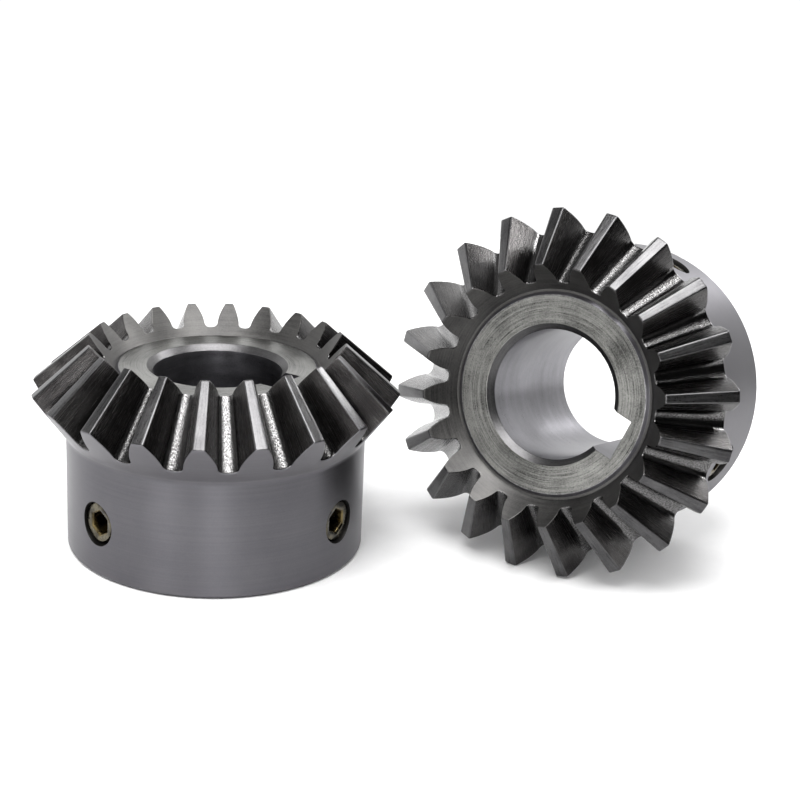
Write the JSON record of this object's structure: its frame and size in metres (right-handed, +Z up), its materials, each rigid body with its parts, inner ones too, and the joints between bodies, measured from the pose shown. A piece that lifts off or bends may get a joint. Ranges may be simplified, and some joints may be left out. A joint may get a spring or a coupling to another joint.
{
  "type": "bevel gear pair",
  "caption": "Mitre pair of equal straight bevel gears with cylindrical hubs, keyed bores and radial set screws; one stands on its hub, the other lies on its side.",
  "frame": {"origin": "on the bench, under the middle of the pair's bounding box", "axes": "+Z up, along the upright gear's shaft axis and out of its front ring; +X from the upright gear towards the lying gear; +Y to the back, so that the lying gear's front faces -Y and -X"},
  "size_m": [0.0856, 0.0448, 0.0418],
  "materials": {
    "blackened_steel": "turned and milled steel with a thin black oxide, satin",
    "set_screw_steel": "oiled, hardened alloy steel with a warm tint, semi-gloss"
  },
  "bodies": {
    "upright_gear": {"upright_gear": "blackened_steel"},
    "lying_gear": {"lying_gear": "blackened_steel"},
    "upright_gear_key_screw": {"upright_gear_key_screw": "set_screw_steel"},
    "upright_gear_shaft_screw": {"upright_gear_shaft_screw": "set_screw_steel"},
    "lying_gear_key_screw": {"lying_gear_key_screw": "set_screw_steel"},
    "lying_gear_shaft_screw": {"lying_gear_shaft_screw": "set_screw_steel"}
  },
  "joints": [
    {"name": "lying_gear_spin", "type": "hinge", "parent": "upright_gear", "child": "lying_gear", "pos_m": [0.02762, 0.01349, 0.01708], "axis": [-0.4803, -0.8542, 0.199], "continuous": true},
    {"name": "upright_key_screw_travel", "type": "slide", "parent": "upright_gear", "child": "upright_gear_key_screw", "axis": [0.866, -0.5, 0], "range_m": [-0.0015, 0.006]},
    {"name": "upright_shaft_screw_travel", "type": "slide", "parent": "upright_gear", "child": "upright_gear_shaft_screw", "axis": [-0.682, -0.7314, 0], "range_m": [-0.0015, 0.006]},
    {"name": "lying_key_screw_travel", "type": "slide", "parent": "lying_gear", "child": "lying_gear_key_screw", "axis": [0.7857, -0.5199, -0.3352], "range_m": [-0.0015, 0.006]},
    {"name": "lying_shaft_screw_travel", "type": "slide", "parent": "lying_gear", "child": "lying_gear_shaft_screw", "axis": [0.3898, -0.0047, 0.9209], "range_m": [-0.0015, 0.006]}
  ]
}
